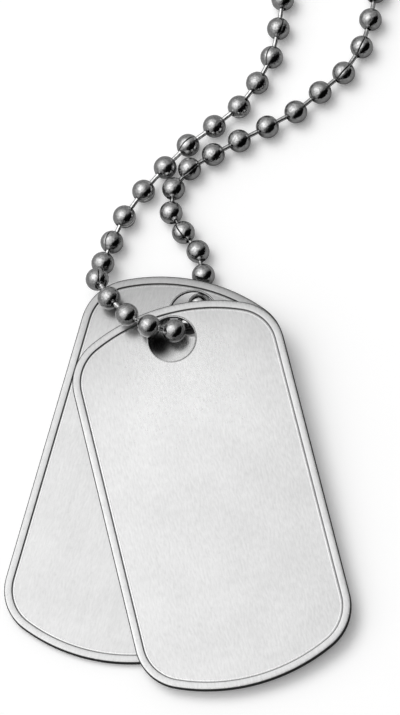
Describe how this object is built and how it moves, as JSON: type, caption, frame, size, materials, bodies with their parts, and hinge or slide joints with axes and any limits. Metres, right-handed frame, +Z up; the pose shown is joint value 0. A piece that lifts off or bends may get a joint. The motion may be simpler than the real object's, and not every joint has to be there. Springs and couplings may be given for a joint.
{
  "type": "identification dog tags on a ball chain",
  "caption": "Blank steel identification tags with a raised border, threaded on a closed ball chain and lying flat.",
  "frame": {"origin": "on the surface that the object lies on, under the middle of the whole object", "axes": "+Z up from that surface; +Y from the tags towards the connector at the far end of the neck loop; +X to the right as seen in the picture"},
  "size_m": [0.1452, 0.268, 0.0077],
  "materials": {
    "front_tag_steel": "stainless steel, brushed along the tag",
    "back_tag_steel": "stainless steel, brushed along the tag",
    "chain_steel": "polished steel balls and pins, dark where they mirror the room",
    "connector_steel": "polished steel, like the balls"
  },
  "bodies": {
    "root": {"front_tag": "front_tag_steel", "back_tag": "back_tag_steel", "ball_chain": "chain_steel", "connector": "connector_steel"}
  },
  "joints": []
}
